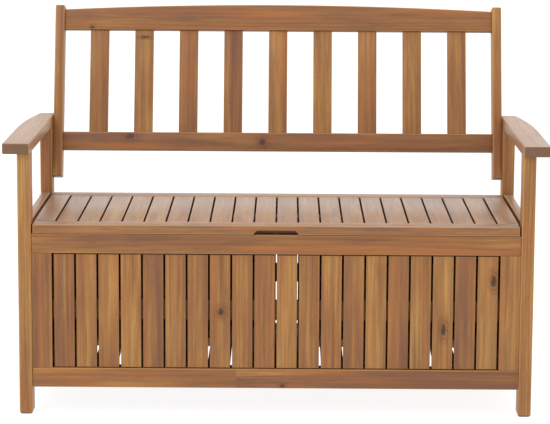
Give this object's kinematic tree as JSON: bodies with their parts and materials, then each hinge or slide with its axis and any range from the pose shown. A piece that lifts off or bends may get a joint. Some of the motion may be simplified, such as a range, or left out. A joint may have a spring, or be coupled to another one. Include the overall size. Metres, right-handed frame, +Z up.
{
  "type": "storage bench",
  "caption": "Slatted wooden garden storage bench with armrests, a leaning slatted back and a lift-up slatted seat lid.",
  "frame": {"origin": "on the ground, in the middle of the bench's width and of its overall depth", "axes": "+X along the bench to its right seen from the front, +Y from the front to the back, +Z up"},
  "size_m": [1.2, 0.6074, 0.8728],
  "materials": {
    "frame_wood": "oiled hardwood, satin",
    "rail_wood": "oiled hardwood, satin",
    "slat_wood": "oiled hardwood, satin",
    "lid_wood": "oiled hardwood, satin",
    "inner_wood": "oiled hardwood, matt",
    "steel": "zinc-plated, satin",
    "nylon": "black nylon"
  },
  "bodies": {
    "bench": {"front_leg_left": "frame_wood", "front_leg_right": "frame_wood", "rear_leg_left": "frame_wood", "rear_leg_right": "frame_wood", "arm_left": "frame_wood", "arm_right": "frame_wood", "side_top_rail_left": "rail_wood", "side_top_rail_right": "rail_wood", "side_bottom_rail_left": "rail_wood", "side_bottom_rail_right": "rail_wood", "side_slats_left": "slat_wood", "side_slats_right": "slat_wood", "side_batten_left": "inner_wood", "side_batten_right": "inner_wood", "front_top_rail": "rail_wood", "front_bottom_rail": "rail_wood", "front_end_board_left": "rail_wood", "front_end_board_right": "rail_wood", "front_slats": "slat_wood", "front_batten": "inner_wood", "rear_top_rail": "rail_wood", "rear_bottom_rail": "rail_wood", "rear_end_board_left": "rail_wood", "rear_end_board_right": "rail_wood", "rear_slats": "slat_wood", "rear_batten": "inner_wood", "floor_slats": "slat_wood", "floor_batten_front": "inner_wood", "floor_batten_rear": "inner_wood", "floor_ledger_front": "inner_wood", "floor_ledger_rear": "inner_wood", "back_post_left": "frame_wood", "back_post_right": "frame_wood", "back_top_rail": "rail_wood", "back_bottom_rail": "rail_wood", "back_slat_1": "slat_wood", "back_slat_2": "slat_wood", "back_slat_3": "slat_wood", "back_slat_4": "slat_wood", "back_slat_5": "slat_wood", "back_slat_6": "slat_wood", "back_slat_7": "slat_wood", "back_slat_8": "slat_wood", "back_slat_9": "slat_wood", "hinge_pin_left": "steel", "hinge_pin_right": "steel", "hinge_bush_left": "nylon", "hinge_bush_right": "nylon", "frame_bolts": "steel", "back_bolts": "steel", "frame_dowels": "inner_wood", "panel_screws": "steel", "floor_screws": "steel"},
    "lid": {"lid_front_rail": "lid_wood", "lid_rear_rail": "lid_wood", "lid_end_board_left": "lid_wood", "lid_end_board_right": "lid_wood", "lid_slats": "lid_wood", "lid_batten": "inner_wood", "lid_screws": "steel"}
  },
  "joints": [
    {"name": "lid_hinge", "type": "hinge", "parent": "bench", "child": "lid", "pos_m": [0, 0.12326, 0.4195], "axis": [-1, 0, 0], "range_deg": [0, 105]}
  ]
}
